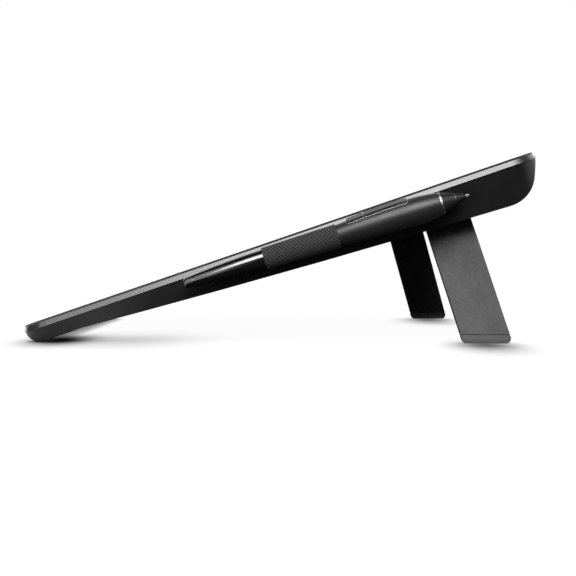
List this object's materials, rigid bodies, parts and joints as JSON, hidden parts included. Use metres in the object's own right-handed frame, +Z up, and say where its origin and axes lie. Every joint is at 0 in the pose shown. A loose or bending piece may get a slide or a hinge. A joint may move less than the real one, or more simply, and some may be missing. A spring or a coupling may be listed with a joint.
{
  "type": "pen display tablet",
  "caption": "Wedge-shaped pen display on folding rear legs, with a pen held in a ribbed textile loop at its side.",
  "frame": {"origin": "on the desk, under the middle of the whole object's outline", "axes": "+X across the tablet towards the pen, +Y from the front edge to the raised rear edge, +Z up"},
  "size_m": [0.4429, 0.2734, 0.1013],
  "materials": {
    "screen_glass": "etched, low gloss",
    "frame_band": "satin",
    "panel_glass": "dark",
    "sheet_metal": "mill",
    "clear_acrylic": "clear",
    "white_film": "matt",
    "circuit_board": "solder mask",
    "chip_black": "matt",
    "screw_steel": "blackened",
    "socket_steel": "satin",
    "lamp_plastic": "frosted",
    "housing_plastic": "fine textured",
    "foot_rubber": "matt",
    "hinge_steel": "satin",
    "loop_textile": "ribbed elastic",
    "leg_plastic": "textured",
    "leg_rubber": "matt",
    "button_plastic": "satin",
    "grip_rubber": "soft touch",
    "barrel_gloss": "gloss",
    "bright_ring": "bright",
    "cone_plastic": "satin",
    "coil_ferrite": "matt",
    "nib_plastic": "matt",
    "eraser_plastic": "satin",
    "key_plastic": "satin"
  },
  "bodies": {
    "tablet": {"cover_glass": "screen_glass", "top_frame": "frame_band", "display_panel": "panel_glass", "backlight_tray": "sheet_metal", "light_guide": "clear_acrylic", "diffuser": "white_film", "sensor_board": "circuit_board", "shield_plate": "sheet_metal", "middle_chassis": "sheet_metal", "main_board": "circuit_board", "board_parts": "chip_black", "housing_screws": "screw_steel", "chassis_screws": "screw_steel", "board_screws": "screw_steel", "hinge_screws": "screw_steel", "cable_socket": "socket_steel", "port_board": "circuit_board", "power_switch": "chip_black", "lamp_lens": "lamp_plastic", "rear_shell": "housing_plastic", "front_feet": "foot_rubber", "rear_feet": "foot_rubber", "hinge_bracket_left": "hinge_steel", "hinge_bracket_right": "hinge_steel", "hinge_pin_left": "hinge_steel", "hinge_pin_right": "hinge_steel", "pen_loop": "loop_textile", "loop_anchor": "housing_plastic"},
    "leg_right": {"leg_right": "leg_plastic", "leg_foot_right": "leg_rubber"},
    "leg_left": {"leg_left": "leg_plastic", "leg_foot_left": "leg_rubber"},
    "power_button": {"power_button": "button_plastic"},
    "pen": {"pen_grip": "grip_rubber", "pen_tube": "housing_plastic", "pen_barrel": "barrel_gloss", "pen_ring": "bright_ring", "pen_cone": "cone_plastic", "pen_coil": "coil_ferrite", "force_sensor": "chip_black", "pen_board": "circuit_board", "switch_pin": "screw_steel"},
    "pen_nib": {"pen_nib": "nib_plastic"},
    "pen_eraser": {"pen_eraser": "eraser_plastic"},
    "side_switch": {"side_switch": "key_plastic"}
  },
  "joints": [
    {"name": "leg_right_fold", "type": "hinge", "parent": "tablet", "child": "leg_right", "pos_m": [0.18447, 0.08929, 0.06587], "axis": [0, 0.9586, 0.2847], "range_deg": [0, 110.5]},
    {"name": "leg_left_fold", "type": "hinge", "parent": "tablet", "child": "leg_left", "pos_m": [-0.19193, 0.08929, 0.06587], "axis": [0, -0.9586, -0.2847], "range_deg": [0, 110.5]},
    {"name": "power_press", "type": "slide", "parent": "tablet", "child": "power_button", "axis": [0, -0.9943, 0.1063], "range_m": [0, 0.0005], "stiffness_N_per_m": 400},
    {"name": "pen_draw", "type": "slide", "parent": "tablet", "child": "pen", "axis": [0, 0.9545, 0.2982], "range_m": [0, 0.09]},
    {"name": "switch_rock", "type": "hinge", "parent": "pen", "child": "side_switch", "pos_m": [0.21454, 0.05144, 0.0661], "axis": [-0.9397, -0.102, 0.3265], "range_deg": [-2, 2], "stiffness_Nm_per_rad": 0.05},
    {"name": "nib_press", "type": "slide", "parent": "pen", "child": "pen_nib", "axis": [0, -0.9545, -0.2982], "range_m": [0, 0.0006], "stiffness_N_per_m": 500},
    {"name": "eraser_press", "type": "slide", "parent": "pen", "child": "pen_eraser", "axis": [0, 0.9545, 0.2982], "range_m": [0, 0.0005], "stiffness_N_per_m": 500}
  ]
}
